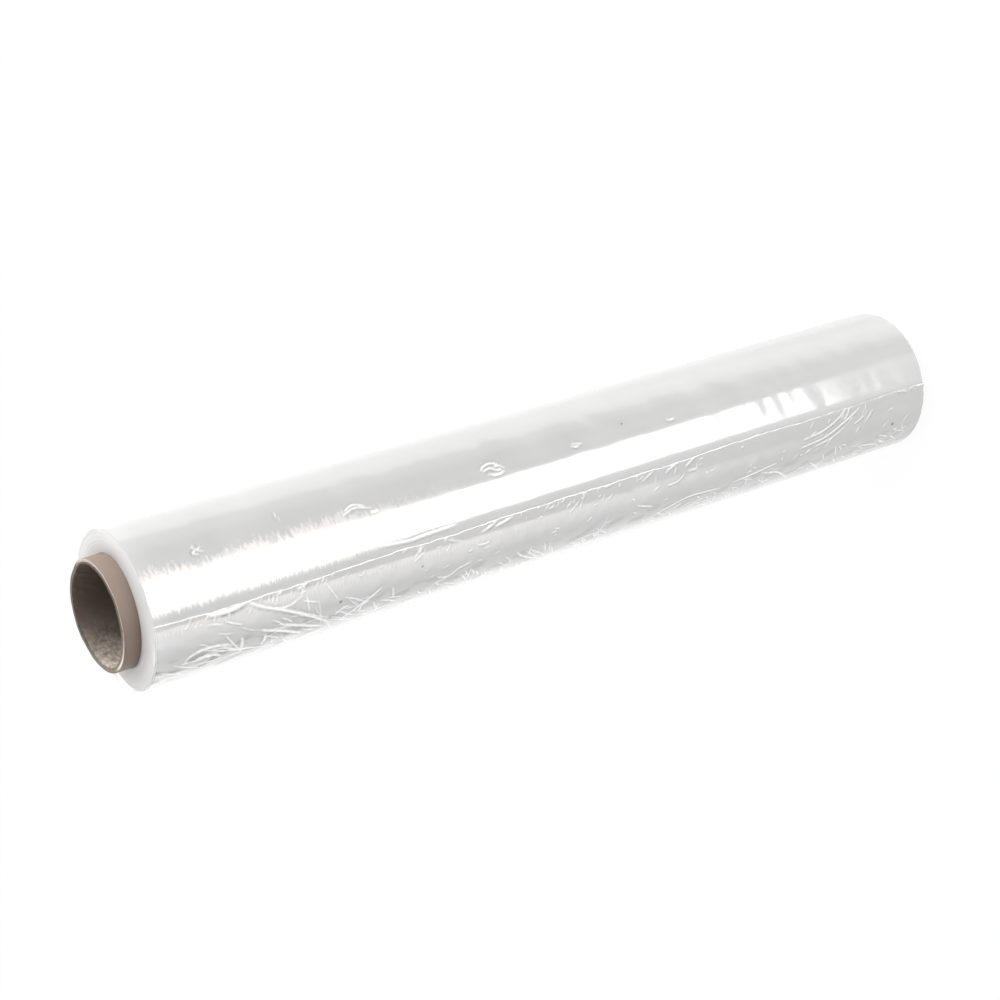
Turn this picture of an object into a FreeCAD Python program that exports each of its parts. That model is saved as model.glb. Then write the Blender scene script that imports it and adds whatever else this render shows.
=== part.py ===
"""Hand roll of clear stretch film: a wound web of film on a cardboard core.

Millimetres, +Z up the core. The origin is the middle of the core's lower end, on which the roll stands.
A place on the roll's side is given by how far down the film it is, in percent of the film's width from
its top end, and by its turn round the axis in degrees. The front, towards -Y, is 0 degrees, and
positive turns go towards +X.
"""
import FreeCAD, Part
import math
import os

# Core: a wound paper tube.
CORE_BORE_RADIUS = 25.0
CORE_WALL = 3.2
CORE_OVERHANG = 9.7
CORE_EDGE_EASE = 0.4

# Film: the wound web. Its rims are rounded, and RIM_TRIM keeps the rounding clear of a sharp tangent.
FILM_WIDTH = 500.0
FILM_BUILD = 12.1
RIM_ROUND = 1.2
RIM_TRIM = 0.4

# Spiral line of the turns on each end face. One groove stands for many real turns.
GROOVE_TURNS = 6
GROOVE_WIDTH = 0.4
GROOVE_DEPTH = 0.35
GROOVE_MARGIN = 0.8

# Free edge of the web: how far it stands above the turn below it, and how far its lip laps the body.
TAIL_STEP = 0.3
TAIL_LIP_LAP = 1.5

# Creases of the loose outer turn. The foot and the tips are depths below the film's outside.
CREASE_HEIGHT = 0.65
CREASE_HALF_WIDTH = 0.8
CREASE_FOOT = 0.8
CREASE_TIP = 0.45
CREASE_TIP_WIDTH_SHARE = 0.2
CREASE_BEND_DEG = 7.0

CORE_RADIUS = CORE_BORE_RADIUS + CORE_WALL
FILM_RADIUS = CORE_RADIUS + FILM_BUILD
CORE_LENGTH = FILM_WIDTH + 2 * CORE_OVERHANG
FILM_BOTTOM = CORE_OVERHANG
FILM_TOP = CORE_OVERHANG + FILM_WIDTH

# The free edge wanders a little: percent down and turn.
TAIL_EDGE = (
    (0, -18.0),
    (20, -18.6),
    (27, -17.0),
    (30, -18.3),
    (41, -16.6),
    (66, -16.0),
    (70, -14.4),
    (83, -15.0),
    (100, -13.5),
)

# Long creases: size as a share of a full one, and a route of percent down and turn.
LONG_CREASES = (
    (1.0, ((9.6, -19), (11.6, -28), (14.2, -37), (16.8, -48), (19.4, -62))),
    (0.6, ((12.0, -30), (14.0, -33), (15.8, -28))),
    (1.0, ((11.2, -46), (13.8, -54), (16.2, -64))),
    (1.0, ((13.2, -46), (16.0, -55), (18.6, -64))),
    (1.0, ((25.0, -42), (22.6, -53), (20.6, -63))),
    (0.8, ((7.0, -50), (8.6, -57), (11.0, -63))),
    (0.8, ((9.2, -47), (9.3, -54), (9.3, -61))),
    (0.7, ((31.6, -50), (33.0, -53), (34.2, -48), (35.8, -45))),
    (0.8, ((41.6, -51), (42.6, -58), (44.8, -67))),
    (0.6, ((43.4, -53), (44.3, -57), (45.2, -62))),
    (1.0, ((59.4, -64), (61.8, -57), (65.0, -51), (69.4, -53))),
    (1.0, ((71.0, -51), (73.6, -49), (77.4, -45))),
    (0.8, ((75.2, -51), (77.8, -56), (79.4, -64), (80.8, -72))),
    (1.0, ((80.8, -31), (84.0, -28), (86.4, -21), (88.0, -12))),
    (1.4, ((80.4, -38), (84.0, -35), (87.0, -27), (89.6, -18))),
    (0.8, ((82.8, -41), (85.4, -37), (87.4, -30))),
    (0.9, ((61.2, -33), (62.6, -32), (63.6, -27))),
    (0.8, ((88.6, -31), (89.4, -29), (90.2, -26))),
    (0.8, ((90.4, -32), (91.0, -28), (91.6, -23))),
    (0.8, ((90.8, -57), (92.4, -60), (94.0, -63))),
)

# Short puckers that hang from the free edge: percent down at the foot, percent run and turn to the edge.
PUCKER_SIZE = 0.7
PUCKER_GAP_DEG = 0.5
PUCKERS = (
    (5.8, 3.8, -1.2),
    (13.2, 1.0, 3.0),
    (15.4, 1.4, 4.0),
    (28.6, 1.2, 6.0),
    (36.8, 2.0, 6.0),
    (38.2, 2.8, 4.0),
    (43.8, 1.2, 3.0),
    (48.4, 1.0, 4.0),
    (57.6, 1.2, -5.0),
    (58.6, 0.8, 6.0),
    (60.8, 2.0, 5.0),
    (61.6, 1.8, 5.5),
    (63.6, 1.8, 6.0),
)

# Nested arched folds that spring from one foot near the top end: percent reach and rise in degrees.
ARCH_SIZE = 0.8
ARCH_POINTS = 6
ARCH_FOOT_DOWN = 3.1
ARCH_FOOT_TURN = -58.0
ARCHES = (
    (5.4, 11.5),
    (4.4, 9.0),
    (3.2, 5.5),
)


def height_at(down):
    """Height above the floor at a percentage down the film."""
    return FILM_TOP - FILM_WIDTH * down / 100


def roll_point(height, turn, radius):
    """Point at a height, a turn from the front and a radius."""
    angle = math.radians(turn)
    return FreeCAD.Vector(radius * math.sin(angle), -radius * math.cos(angle), height)


def tail_turn(down):
    """Turn of the free edge at a percentage down the film."""
    for (down_a, turn_a), (down_b, turn_b) in zip(TAIL_EDGE, TAIL_EDGE[1:]):
        if down <= down_b:
            break
    return turn_a + (turn_b - turn_a) * (down - down_a) / (down_b - down_a)


def round_edges(solid):
    """Circular edges of a plain cylinder."""
    return [edge for edge in solid.Edges if edge.Closed]


def make_core():
    """Straight paper tube, its outer rims eased by wear."""
    rod = Part.makeCylinder(CORE_RADIUS, CORE_LENGTH)
    rod = rod.makeChamfer(CORE_EDGE_EASE, round_edges(rod))
    return rod.cut(Part.makeCylinder(CORE_BORE_RADIUS, CORE_LENGTH))


def make_winding():
    """Wound body with its bore: two half circles of unlike radius, which meet in a step at the free edge."""
    edge_turn = min(turn for _, turn in TAIL_EDGE)
    shift = TAIL_STEP / 2
    outer_end = roll_point(FILM_BOTTOM, edge_turn, FILM_RADIUS)
    inner_end = roll_point(FILM_BOTTOM, edge_turn, FILM_RADIUS - TAIL_STEP)
    opposite = roll_point(FILM_BOTTOM, edge_turn + 180, FILM_RADIUS)
    large_middle = roll_point(FILM_BOTTOM, edge_turn - 90, FILM_RADIUS)
    small_middle = roll_point(FILM_BOTTOM, edge_turn + 90, FILM_RADIUS - shift)
    small_middle += roll_point(0, edge_turn + 180, shift)
    outline = [
        Part.Arc(outer_end, large_middle, opposite).toShape(),
        Part.Arc(opposite, small_middle, inner_end).toShape(),
        Part.makeLine(inner_end, outer_end),
    ]
    body = Part.Face(Part.Wire(outline)).extrude(FreeCAD.Vector(0, 0, FILM_WIDTH))
    body = body.fuse(make_tail_lip(edge_turn)).removeSplitter()
    return body.common(make_rounded_envelope()).cut(Part.makeCylinder(CORE_RADIUS, CORE_LENGTH))


def make_tail_lip(edge_turn):
    """Last few millimetres of the web, from the body's straight step out to the wandering free edge."""
    round_way = roll_point(0, edge_turn + 90, 1)
    outward = roll_point(0, edge_turn, 1)
    border = []
    for down, turn in TAIL_EDGE:
        reach = FILM_RADIUS * math.sin(math.radians(turn - edge_turn))
        border.append(round_way * reach + FreeCAD.Vector(0, 0, height_at(down)))
    for height in (FILM_BOTTOM, FILM_TOP):
        border.append(round_way * -TAIL_LIP_LAP + FreeCAD.Vector(0, 0, height))
    prism = Part.Face(Part.makePolygon(border + border[:1])).extrude(outward * 2 * FILM_RADIUS)
    foot = FreeCAD.Vector(0, 0, FILM_BOTTOM)
    skin = Part.makeCylinder(FILM_RADIUS, FILM_WIDTH, foot)
    skin = skin.cut(Part.makeCylinder(FILM_RADIUS - 2 * TAIL_STEP, FILM_WIDTH, foot))
    return skin.common(prism)


def make_rounded_envelope():
    """Cylinder a little larger than the roll, whose rounded ends take the sharp rims off the film."""
    envelope = Part.makeCylinder(FILM_RADIUS + RIM_TRIM, FILM_WIDTH, FreeCAD.Vector(0, 0, FILM_BOTTOM))
    return envelope.makeFillet(RIM_TRIM + RIM_ROUND, round_edges(envelope))


def spiral_arcs(radius, pitch):
    """Half circles of a spiral that starts at a radius on the -X side and opens by one pitch a turn."""
    arcs = []
    side = 1
    for _ in range(2 * GROOVE_TURNS):
        wider = radius + pitch / 2
        start = FreeCAD.Vector(-side * radius, 0, 0)
        crown = FreeCAD.Vector(side * (wider - radius) / 2, side * (wider + radius) / 2, 0)
        end = FreeCAD.Vector(side * wider, 0, 0)
        arcs.append(Part.Arc(start, crown, end).toShape())
        radius = wider
        side = -side
    return arcs


def make_spiral_groove(floor):
    """Spiral trench with its floor at a height, which runs out past the film's end face."""
    inner = CORE_RADIUS + GROOVE_MARGIN
    outer = inner + GROOVE_WIDTH
    growth = FILM_RADIUS - RIM_ROUND - GROOVE_MARGIN - outer
    pitch = growth / GROOVE_TURNS
    caps = []
    for radius in (inner, inner + growth):
        start = FreeCAD.Vector(-radius, 0, 0)
        caps.append(Part.makeLine(start, start - FreeCAD.Vector(GROOVE_WIDTH, 0, 0)))
    border = Part.__sortEdges__(spiral_arcs(inner, pitch) + spiral_arcs(outer, pitch) + caps)
    groove = Part.Face(Part.Wire(border)).extrude(FreeCAD.Vector(0, 0, 2 * GROOVE_DEPTH))
    groove.translate(FreeCAD.Vector(0, 0, floor))
    return groove


def hug_roll(route):
    """Route with points added, so that each run bends with the roll instead of cutting into it."""
    points = [route[0]]
    for (down_a, turn_a), (down_b, turn_b) in zip(route, route[1:]):
        runs = max(1, math.ceil(abs(turn_b - turn_a) / CREASE_BEND_DEG))
        for run in range(1, runs + 1):
            share = run / runs
            points.append((down_a + (down_b - down_a) * share, turn_a + (turn_b - turn_a) * share))
    return points


def make_crease(route, size):
    """Sharp fold of film along a route: a narrow roof that rises out of the roll and sinks back into it."""
    points = hug_roll(route)
    last = len(points) - 1
    foot = FILM_RADIUS - CREASE_FOOT
    sections = []
    for index, (down, turn) in enumerate(points):
        down_before, turn_before = points[max(index - 1, 0)]
        down_after, turn_after = points[min(index + 1, last)]
        rise = height_at(down_after) - height_at(down_before)
        swing = math.radians(turn_after - turn_before) * FILM_RADIUS
        length = math.hypot(rise, swing)
        swell = math.sin(math.pi * index / last)
        half = CREASE_HALF_WIDTH * size * (CREASE_TIP_WIDTH_SHARE + (1 - CREASE_TIP_WIDTH_SHARE) * swell)
        up = half * swing / length
        aside = math.degrees(half * rise / length / FILM_RADIUS)
        crest = FILM_RADIUS - CREASE_TIP + (CREASE_TIP + CREASE_HEIGHT * size) * swell
        height = height_at(down)
        corners = [
            roll_point(height + up, turn - aside, foot),
            roll_point(height, turn, crest),
            roll_point(height - up, turn + aside, foot),
        ]
        sections.append(Part.makePolygon(corners + corners[:1]))
    return Part.makeLoft(sections, True, True)


def make_pucker(down, run, turn):
    """Short crease that slants up to the free edge and stops just below it."""
    top_down = down + run
    top_turn = tail_turn(top_down) - PUCKER_GAP_DEG
    middle = (down + run / 2, top_turn - turn / 2)
    return make_crease(((down, top_turn - turn), middle, (top_down, top_turn)), PUCKER_SIZE)


def make_arch(reach, rise):
    """Arched fold that springs from the common foot."""
    route = []
    for index in range(ARCH_POINTS):
        angle = math.pi * index / (ARCH_POINTS - 1)
        down = ARCH_FOOT_DOWN + reach * (1 - math.cos(angle)) / 2
        route.append((down, ARCH_FOOT_TURN + rise * math.sin(angle)))
    return make_crease(route, ARCH_SIZE)


def make_film():
    """Whole winding: body, spiral of the turns on both ends, and the creases of its loose outer turn."""
    film = make_winding()
    film = film.cut(make_spiral_groove(FILM_TOP - GROOVE_DEPTH))
    film = film.cut(make_spiral_groove(FILM_BOTTOM - GROOVE_DEPTH))
    creases = [make_crease(route, size) for size, route in LONG_CREASES]
    creases += [make_pucker(down, run, turn) for down, run, turn in PUCKERS]
    creases += [make_arch(reach, rise) for reach, rise in ARCHES]
    return film.fuse(creases)


def report_shape(name, shape):
    """Print what is looked at first: validity, solids, volume and size."""
    box = shape.optimalBoundingBox()
    print(
        f"{name}: valid {shape.isValid()}, solids {len(shape.Solids)}, {shape.Volume / 1000:.1f} cm3, "
        f"{box.XLength:.2f} x {box.YLength:.2f} x {box.ZLength:.2f} mm"
    )


os.makedirs("parts", exist_ok=True)
for node, solid in (("core", make_core()), ("film", make_film())):
    report_shape(node, solid)
    solid.exportStep(f"parts/{node}.step")
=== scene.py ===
"""Stretch wrap roll: clear film wound on a board core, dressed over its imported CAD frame.

Blender works in metres, and the sizes below are in millimetres. The roll stands on its core's lower
end, with +Z up the core. A place on the film's side is a depth below the film's top end and a turn in
degrees from the front, which is -Y, positive towards +X.
"""

import logging
import math
from collections.abc import Callable, Iterator, Sequence
from contextlib import contextmanager
from dataclasses import dataclass, field
from enum import Enum

import bmesh
import bpy
import numpy as np
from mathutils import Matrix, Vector

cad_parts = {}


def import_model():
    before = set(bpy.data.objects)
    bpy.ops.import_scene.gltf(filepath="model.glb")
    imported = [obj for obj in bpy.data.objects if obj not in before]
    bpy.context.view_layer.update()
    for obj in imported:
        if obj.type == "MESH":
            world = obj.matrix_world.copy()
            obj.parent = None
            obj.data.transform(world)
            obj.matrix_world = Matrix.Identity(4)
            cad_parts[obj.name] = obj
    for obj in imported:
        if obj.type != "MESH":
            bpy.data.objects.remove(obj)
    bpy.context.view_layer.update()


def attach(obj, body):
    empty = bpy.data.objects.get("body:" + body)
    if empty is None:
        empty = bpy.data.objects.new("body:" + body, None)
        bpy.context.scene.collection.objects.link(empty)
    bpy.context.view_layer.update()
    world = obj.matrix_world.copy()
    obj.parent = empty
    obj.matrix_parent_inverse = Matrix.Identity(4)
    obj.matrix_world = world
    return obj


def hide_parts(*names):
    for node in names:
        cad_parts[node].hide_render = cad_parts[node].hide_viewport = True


MM = 0.001
LOG = logging.getLogger("stretch_wrap_roll")

Route = tuple[tuple[float, float], ...]


# Hand tools for meshes.


def select_only(piece: bpy.types.Object) -> None:
    """Deselect everything, then select one piece and make it active.

    Args:
        piece: The piece to work on.
    """
    bpy.ops.object.select_all(action="DESELECT")
    piece.select_set(True)
    bpy.context.view_layer.objects.active = piece


@contextmanager
def edit_mode(piece: bpy.types.Object) -> Iterator[None]:
    """Open a piece in edit mode with nothing selected, and leave edit mode at the end.

    Args:
        piece: The piece to open.
    """
    select_only(piece)
    bpy.ops.object.mode_set(mode="EDIT")
    bpy.ops.mesh.select_all(action="DESELECT")
    yield
    bpy.ops.object.mode_set(mode="OBJECT")


def pick_faces(piece: bpy.types.Object, test: Callable[[bmesh.types.BMFace], bool]) -> None:
    """Select in edit mode exactly the faces that pass a test.

    Args:
        piece: The piece in edit mode.
        test: Says whether a face is wanted.
    """
    bpy.ops.mesh.select_mode(type="FACE")
    mesh = bmesh.from_edit_mesh(piece.data)
    for face in mesh.faces:
        face.select_set(test(face))
    bmesh.update_edit_mesh(piece.data)


def pick_edges(piece: bpy.types.Object, test: Callable[[bmesh.types.BMEdge], bool]) -> None:
    """Select in edit mode exactly the edges that pass a test.

    Args:
        piece: The piece in edit mode.
        test: Says whether an edge is wanted.
    """
    bpy.ops.mesh.select_mode(type="EDGE")
    bpy.ops.mesh.select_all(action="DESELECT")
    mesh = bmesh.from_edit_mesh(piece.data)
    for edge in mesh.edges:
        if test(edge):
            edge.select_set(True)
    bmesh.update_edit_mesh(piece.data)


def rises(edge: bmesh.types.BMEdge) -> float:
    """Height that an edge climbs, in millimetres."""
    return abs(edge.verts[0].co.z - edge.verts[1].co.z) / MM


def reach(vertex: bmesh.types.BMVert) -> float:
    """Distance of a vertex from the roll's axis, in millimetres."""
    return math.hypot(vertex.co.x, vertex.co.y) / MM


def read_points(piece: bpy.types.Object) -> np.ndarray:
    """Vertex places of a piece.

    Args:
        piece: The piece to read.

    Returns:
        One row of x, y and z for each vertex, in millimetres.
    """
    points = np.zeros(len(piece.data.vertices) * 3)
    piece.data.vertices.foreach_get("co", points)
    return points.reshape(-1, 3) / MM


def write_points(piece: bpy.types.Object, points: np.ndarray) -> None:
    """Move the vertices of a piece.

    Args:
        piece: The piece to change.
        points: One row of x, y and z for each vertex, in millimetres.
    """
    piece.data.vertices.foreach_set("co", (points * MM).ravel())
    piece.data.update()


def store_mask(piece: bpy.types.Object, name: str, values: np.ndarray) -> None:
    """Keep one number for each vertex as an attribute that a material can read.

    Args:
        piece: The piece to mark.
        name: The attribute's name.
        values: One number for each vertex.
    """
    attribute = piece.data.attributes.new(name, "FLOAT", "POINT")
    attribute.data.foreach_set("value", values.astype(np.float32))


def settle_transform(piece: bpy.types.Object) -> None:
    """Move a piece's place, turn and size into its mesh."""
    select_only(piece)
    bpy.ops.object.transform_apply(location=True, rotation=True, scale=True)


def join_frame(piece: bpy.types.Object, node: str) -> None:
    """Hang a finished piece on the CAD frame in place of its node.

    Args:
        piece: The finished piece.
        node: The CAD node that it stands for.
    """
    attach(piece, "root")
    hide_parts(node)
    LOG.info("%s: %d vertices, %d faces", piece.name, len(piece.data.vertices), len(piece.data.polygons))


# Shader nodes.


class Wire:
    """Output socket of a shader node, on which Python's operators lay Math nodes."""

    def __init__(self, bench: "Bench", socket: bpy.types.NodeSocket) -> None:
        """Wrap a socket of the bench's node tree."""
        self.bench = bench
        self.socket = socket

    def out(self, name: str) -> "Wire":
        """Another output of the same node."""
        return Wire(self.bench, self.socket.node.outputs[name])

    def math(self, operation: str, *others: "Wire | float") -> "Wire":
        """Math node on this value and others.

        Args:
            operation: The Math node's operation.
            *others: The values or wires after this one.

        Returns:
            The node's result.
        """
        return self.bench.node("ShaderNodeMath", {"operation": operation}, [self, *others])

    def __add__(self, other: "Wire | float") -> "Wire":
        """Sum."""
        return self.math("ADD", other)

    def __radd__(self, other: float) -> "Wire":
        """Sum with a number in front."""
        return self.math("ADD", other)

    def __sub__(self, other: "Wire | float") -> "Wire":
        """Difference."""
        return self.math("SUBTRACT", other)

    def __rsub__(self, other: float) -> "Wire":
        """Difference from a number in front."""
        return self.bench.node("ShaderNodeMath", {"operation": "SUBTRACT"}, [other, self])

    def __mul__(self, other: "Wire | float") -> "Wire":
        """Product."""
        return self.math("MULTIPLY", other)

    def __rmul__(self, other: float) -> "Wire":
        """Product with a number in front."""
        return self.math("MULTIPLY", other)

    def __truediv__(self, other: "Wire | float") -> "Wire":
        """Quotient."""
        return self.math("DIVIDE", other)

    def __rtruediv__(self, other: float) -> "Wire":
        """Quotient of a number in front."""
        return self.bench.node("ShaderNodeMath", {"operation": "DIVIDE"}, [other, self])

    def __pow__(self, other: float) -> "Wire":
        """Power."""
        return self.math("POWER", other)

    def __neg__(self) -> "Wire":
        """Negative."""
        return self.math("MULTIPLY", -1.0)

    def clamped(self) -> "Wire":
        """The value held between 0 and 1."""
        return self.bench.node("ShaderNodeClamp", {}, {"Value": self})

    def step(self, edge: "Wire | float", soft: "Wire | float") -> "Wire":
        """Smooth step from 0 to 1 as this value passes an edge.

        Args:
            edge: Where the step is half way.
            soft: How far the step runs to each side of the edge.

        Returns:
            The step's height.
        """
        ranges = {"Value": self, "From Min": edge - soft, "From Max": edge + soft}
        return self.bench.node("ShaderNodeMapRange", {"interpolation_type": "SMOOTHSTEP"}, ranges)


Feed = Wire | float | Sequence[float]


class Bench:
    """Node tree of a material or world, with one method that adds any node."""

    def __init__(self, tree: bpy.types.NodeTree) -> None:
        """Start with an empty tree."""
        self.tree = tree
        self.tree.nodes.clear()

    def node(self, kind: str, settings: dict | None = None, feeds: "dict[str, Feed] | Sequence[Feed]" = ()) -> Wire:
        """Add a node, set it up and connect it.

        Args:
            kind: The node's type name.
            settings: The node's own settings. A ramp's stops are pairs of place and colour.
            feeds: Values or wires for its inputs, by name or in order.

        Returns:
            The node's first output, or its first input where it has no output.
        """
        added = self.tree.nodes.new(kind)
        for name, value in (settings or {}).items():
            if name == "stops":
                self._set_stops(added.color_ramp, value)
            else:
                setattr(added, name, value)
        pairs = feeds.items() if isinstance(feeds, dict) else enumerate(feeds)
        for key, value in pairs:
            socket = added.inputs[key]
            if isinstance(value, Wire):
                self.tree.links.new(value.socket, socket)
            else:
                socket.default_value = value
        return Wire(self, added.outputs[0] if added.outputs else added.inputs[0])

    @staticmethod
    def _set_stops(ramp: bpy.types.ColorRamp, stops: Sequence[tuple[float, Sequence[float]]]) -> None:
        """Give a ramp its stops.

        Args:
            ramp: The ramp of a Color Ramp node.
            stops: Pairs of place and colour, in rising order.
        """
        while len(ramp.elements) < len(stops):
            ramp.elements.new(1.0)
        for element, (place, colour) in zip(ramp.elements, stops):
            element.position = place
            element.color = (*colour, 1.0)

    def blend(self, share: Feed, first: Feed, second: Feed) -> Wire:
        """Mix two colours by a share.

        Args:
            share: 0 for the first colour, 1 for the second.
            first: The first colour.
            second: The second colour.

        Returns:
            The mixed colour.
        """
        settings = {"data_type": "RGBA"}
        feeds = {0: share, 6: first, 7: second}
        mixed = self.node("ShaderNodeMix", settings, feeds)
        return Wire(self, mixed.socket.node.outputs[2])

    def noise(self, place: Wire, scale: float, detail: float = 2.0, roughness: float = 0.5) -> Wire:
        """Noise texture of a place.

        Args:
            place: The vector that it reads.
            scale: Waves per metre of that vector.
            detail: Octaves.
            roughness: Share of the fine octaves.

        Returns:
            The noise, from 0 to 1 about 0.5.
        """
        feeds = {"Vector": place, "Scale": scale, "Detail": detail, "Roughness": roughness}
        return self.node("ShaderNodeTexNoise", {}, feeds)

    def stretched(self, place: Wire, scales: Sequence[float]) -> Wire:
        """A place scaled by its own number along each axis."""
        return self.node("ShaderNodeVectorMath", {"operation": "MULTIPLY"}, [place, tuple(scales)])


def paint(value: float, warmth: float = 0.0) -> tuple[float, float, float, float]:
    """Grey colour with a little warmth.

    Args:
        value: The grey's linear value.
        warmth: Share by which red rises and blue falls.

    Returns:
        The colour with full alpha.
    """
    return (value * (1 + warmth), value, value * (1 - warmth), 1.0)


# Finishes.


@dataclass(frozen=True)
class FilmSide:
    """Side of the roll: many tight layers of clear film over each other, glossy and milky white."""

    name: str = "film_side"
    milk: float = 0.54
    crease_glint_white: float = 0.95
    crease_border_shade: float = 0.26
    fur_highlight_white: float = 0.76
    dirt: float = 0.10
    roughness: float = 0.07
    specular: float = 1.0
    fur_depth: float = 135.0
    film_top: float = 0.5097

    def make(self) -> bpy.types.Material:
        """Build the material.

        Returns:
            The finished material.
        """
        material = bpy.data.materials.new(self.name)
        material.use_nodes = True
        bench = Bench(material.node_tree)
        place = bench.node("ShaderNodeTexCoord").out("Object")
        x = bench.node("ShaderNodeSeparateXYZ", {}, [place])
        depth = (self.film_top - x.out("Z")) / MM
        turn = x.math("ARCTAN2", -x.out("Y")) * (180 / math.pi)
        # The crease attribute holds painted glints on crests and along the free edge above 0, and painted shade
        # beside creases and in sagging patches below 0.
        crease = bench.node("ShaderNodeAttribute", {"attribute_name": "crease"}).out("Fac")
        dirt = bench.node("ShaderNodeAttribute", {"attribute_name": "dirt"}).out("Fac")
        cloud = bench.noise(place, 42.0, 3.0)
        milk = bench.blend((cloud - 0.3) * 2.2, paint(self.milk * 0.97, 0.004), paint(self.milk * 1.03, 0.004))
        blades = bench.noise(bench.stretched(place, (110.0, 110.0, 1050.0)), 1.0, 4.0, 0.65)
        wisps = bench.noise(bench.stretched(place, (180.0, 180.0, 560.0)), 1.0, 5.0, 0.7)
        # Painted highlight: hair-like rows of lighter colour along the long highlight's edges, also bumped.
        fur_highlight = self._fur_highlight(blades, wisps, bench.noise(place, 48.0, 2.0), depth, turn)
        # Painted highlight: lighter within a few millimetres of the top end.
        rim_lit = bench.blend((1 - depth.step(7.0, 7.0)) * 0.5, milk, paint(self.milk * 1.15))
        fur_lit = bench.blend(fur_highlight, rim_lit, paint(self.fur_highlight_white, 0.04))
        # Painted shade beside the creases, then painted glints on their crests, which also stand for the film
        # whitening where it is folded.
        shaded = bench.blend((-crease).clamped(), fur_lit, paint(self.crease_border_shade, 0.04))
        crease_glinted = bench.blend(crease.clamped(), shaded, paint(self.crease_glint_white))
        height = blades * (fur_highlight * 0.5 + 0.08) + bench.noise(place, 95.0, 1.0) * 0.06
        shader = {
            "Base Color": bench.blend(dirt.clamped(), crease_glinted, paint(self.dirt, 0.1)),
            "Roughness": self.roughness + bench.noise(place, 130.0) * 0.05,
            "IOR": 1.5,
            "Specular IOR Level": self.specular,
            "Normal": bench.node("ShaderNodeBump", {}, {"Strength": 0.4, "Distance": 0.0005, "Height": height}),
        }
        surface = bench.node("ShaderNodeBsdfPrincipled", {}, shader)
        bench.node("ShaderNodeOutputMaterial", {}, {"Surface": surface})
        return material

    def _fur_highlight(self, blades: Wire, wisps: Wire, lumps: Wire, depth: Wire, turn: Wire) -> Wire:
        """Hair-like wrinkles in three rows near the roll's top end, along the edges of the long highlight, as
        painted highlight and bump.

        Args:
            blades: Noise drawn out round the roll.
            wisps: Rounder noise, for the cloudy upper row.
            lumps: Coarse noise that gathers the wrinkles into tufts.
            depth: Depth below the film's top end, in millimetres.
            turn: Turn from the front, in degrees.

        Returns:
            Mask of the wrinkles, which lightens the colour as painted highlight.
        """
        above_reach = (turn - 13.0 - (lumps - 0.5) * 16.0) / 9.0
        above = self._blade_row(wisps, above_reach) * (1 - depth.step(self.fur_depth, 75.0))
        below = self._blade_row(blades, (-10.0 - turn) / 4.5) * (1 - depth.step(self.fur_depth * 0.8, 60.0))
        low_reach = (depth * -0.0175 - 22.5 - turn) / 6.0 - 0.4
        lowest = self._blade_row(blades, low_reach) * (1 - depth.step(self.fur_depth * 1.7, 90.0))
        return above.math("MAXIMUM", below).math("MAXIMUM", lowest * 0.5)

    @staticmethod
    def _blade_row(blades: Wire, reach: Wire) -> Wire:
        """Row of blades that thin out from an edge, where reach is 0, to their tips, where it is 1.

        Args:
            blades: Noise drawn out round the roll.
            reach: Distance from the edge as a share of the blades' length.

        Returns:
            Mask of the row.
        """
        return ((blades - (reach * 0.28 + 0.31)) / 0.2).clamped() * reach.step(-0.5, 0.1)


@dataclass(frozen=True)
class FilmEnd:
    """End face of the roll: the cut edges of all the turns, soft and translucent white, greyer near the core as
    painted shade.
    """

    name: str = "film_end"
    light: float = 0.84
    deep_shade: float = 0.62
    roughness: float = 0.38
    core_radius: float = 28.2
    build: float = 12.1

    def make(self) -> bpy.types.Material:
        """Build the material.

        Returns:
            The finished material.
        """
        material = bpy.data.materials.new(self.name)
        material.use_nodes = True
        bench = Bench(material.node_tree)
        place = bench.node("ShaderNodeTexCoord").out("Object")
        x = bench.node("ShaderNodeSeparateXYZ", {}, [place])
        flat = bench.node("ShaderNodeCombineXYZ", {}, [x, x.out("Y"), 0.0])
        radius = bench.node("ShaderNodeVectorMath", {"operation": "LENGTH"}, [flat]).out("Value") / MM
        share = (radius - self.core_radius) / self.build
        turn = x.math("ARCTAN2", -x.out("Y")) / (2 * math.pi)
        turns = bench.node("ShaderNodeCombineXYZ", {}, [radius * 2.6 + turn * 4, turn * 3, 0.0])
        rings = bench.noise(turns, 1.0, 3.0, 0.7)
        # Painted shade: greyer near the core, under its overhang, lighter towards the rim.
        tone = bench.blend(share.step(0.35, 0.4), paint(self.deep_shade, 0.006), paint(self.light, 0.004))
        colour = bench.blend((rings - 0.35) * 0.3, tone, paint(0.93))
        shader = {
            "Base Color": colour,
            "Roughness": self.roughness + (rings - 0.5) * 0.2,
            "Specular IOR Level": 0.5,
            "Normal": bench.node("ShaderNodeBump", {}, {"Strength": 0.12, "Distance": 0.0003, "Height": rings}),
        }
        surface = bench.node("ShaderNodeBsdfPrincipled", {}, shader)
        bench.node("ShaderNodeOutputMaterial", {}, {"Surface": surface})
        return material


class BoardFace(Enum):
    """Faces of the core that look unlike each other."""

    OUTSIDE = "board_outside"
    LINING = "board_lining"
    CUT = "board_cut"


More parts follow.
